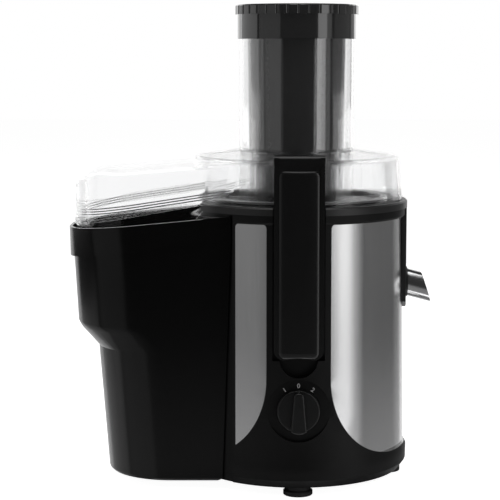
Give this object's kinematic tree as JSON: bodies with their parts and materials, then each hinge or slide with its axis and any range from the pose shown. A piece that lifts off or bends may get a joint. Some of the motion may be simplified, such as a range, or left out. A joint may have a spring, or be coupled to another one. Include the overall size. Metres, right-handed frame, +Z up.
{
  "type": "centrifugal juicer",
  "caption": "Centrifugal juicer with steel-clad motor base, clear lid and wide feed tube, pusher, spinning filter basket, side pulp bin, juice spout and draw latches.",
  "frame": {"origin": "bottom centre of the bounding box, on the table under the suction feet", "axes": "+Z up along the motor axis, -Y towards the user and the speed knob, +X towards the juice spout"},
  "size_m": [0.2874, 0.189, 0.3749],
  "materials": {
    "housing_plastic": "polished",
    "bin_plastic": "polished",
    "pusher_plastic": "polished",
    "latch_plastic": "polished",
    "bowl_plastic": "polished",
    "knob_plastic": "satin",
    "inner_plastic": "moulded",
    "panel_steel": "vertically brushed",
    "spout_metal": "bright",
    "clear_plastic": "clear",
    "basket_steel": "etched sheet",
    "shaft_steel": "ground",
    "lamination": "varnished",
    "winding_copper": "enamelled",
    "commutator_copper": "turned",
    "bracket_metal": "die cast",
    "carbon": "pressed",
    "holder_brass": "stamped",
    "foot_rubber": "soft",
    "zinc_steel": "zinc plated"
  },
  "bodies": {
    "body": {"motor_housing": "housing_plastic", "base_cover": "housing_plastic", "suction_feet": "foot_rubber", "bottom_screws": "zinc_steel", "cord_gland": "foot_rubber", "right_panel": "panel_steel", "front_left_panel": "panel_steel", "rear_left_panel": "panel_steel", "juice_bowl": "bowl_plastic", "juice_spout": "spout_metal", "lid": "clear_plastic", "rotary_switch": "inner_plastic", "upper_bracket": "bracket_metal", "lower_bracket": "bracket_metal", "upper_bearing": "shaft_steel", "lower_bearing": "shaft_steel", "motor_screws": "zinc_steel", "motor_bushes": "foot_rubber", "stator_core": "lamination", "field_coils": "winding_copper", "carbon_brushes": "carbon", "brush_holders": "holder_brass", "shaft_seal": "foot_rubber", "front_link_pin": "zinc_steel", "front_interlock_switch": "inner_plastic", "rear_link_pin": "zinc_steel", "rear_interlock_switch": "inner_plastic"},
    "rotor": {"motor_shaft": "shaft_steel", "armature_core": "lamination", "armature_windings": "winding_copper", "commutator": "commutator_copper", "cooling_fan": "inner_plastic", "drive_coupling": "inner_plastic", "basket_base": "inner_plastic", "filter_mesh": "basket_steel", "basket_rim": "inner_plastic", "grater_disc": "basket_steel"},
    "pusher": {"pusher_body": "pusher_plastic", "pusher_cap": "pusher_plastic"},
    "bin": {"pulp_bin": "bin_plastic"},
    "knob": {"speed_knob": "knob_plastic", "switch_spindle": "zinc_steel"},
    "front_link_body": {"front_latch_link": "zinc_steel"},
    "front_arm_body": {"front_latch_arm": "latch_plastic", "front_arm_pin": "zinc_steel"},
    "front_plunger_body": {"front_plunger": "inner_plastic"},
    "rear_link_body": {"rear_latch_link": "zinc_steel"},
    "rear_arm_body": {"rear_latch_arm": "latch_plastic", "rear_arm_pin": "zinc_steel"},
    "rear_plunger_body": {"rear_plunger": "inner_plastic"}
  },
  "joints": [
    {"name": "basket_spin", "type": "hinge", "parent": "body", "child": "rotor", "pos_m": [0.03574, 0.0025, 0.1009], "axis": [0, 0, 1], "continuous": true},
    {"name": "pusher_lift", "type": "slide", "parent": "body", "child": "pusher", "axis": [0, 0, 1], "range_m": [0, 0.165]},
    {"name": "bin_tilt", "type": "hinge", "parent": "body", "child": "bin", "pos_m": [-0.04111, 0.0025, 0.2052], "axis": [0, 1, 0], "range_deg": [0, 8]},
    {"name": "speed_knob_turn", "type": "hinge", "parent": "body", "child": "knob", "pos_m": [0.03574, -0.0855, 0.0672], "axis": [0, 1, 0], "range_deg": [-35, 35]},
    {"name": "front_latch", "type": "hinge", "parent": "body", "child": "front_link_body", "pos_m": [0.03574, -0.0798, 0.1769], "axis": [-1, 0, 0], "range_deg": [0, 110]},
    {"name": "front_arm", "type": "hinge", "parent": "front_link_body", "child": "front_arm_body", "pos_m": [0.03574, -0.0798, 0.1629], "axis": [-1, 0, 0], "range_deg": [-110, 0]},
    {"name": "front_interlock", "type": "slide", "parent": "body", "child": "front_plunger_body", "axis": [0, -1, 0], "range_m": [0, 0.0025]},
    {"name": "rear_latch", "type": "hinge", "parent": "body", "child": "rear_link_body", "pos_m": [0.03574, 0.0848, 0.1769], "axis": [1, 0, 0], "range_deg": [0, 110]},
    {"name": "rear_arm", "type": "hinge", "parent": "rear_link_body", "child": "rear_arm_body", "pos_m": [0.03574, 0.0848, 0.1629], "axis": [1, 0, 0], "range_deg": [-110, 0]},
    {"name": "rear_interlock", "type": "slide", "parent": "body", "child": "rear_plunger_body", "axis": [0, 1, 0], "range_m": [0, 0.0025]}
  ],
  "couplings": [
    {"joint": "front_arm", "follows": "front_latch", "ratio": -1},
    {"joint": "front_interlock", "follows": "front_latch", "m_per_rad": 0.0013},
    {"joint": "rear_arm", "follows": "rear_latch", "ratio": -1},
    {"joint": "rear_interlock", "follows": "rear_latch", "m_per_rad": 0.0013}
  ]
}
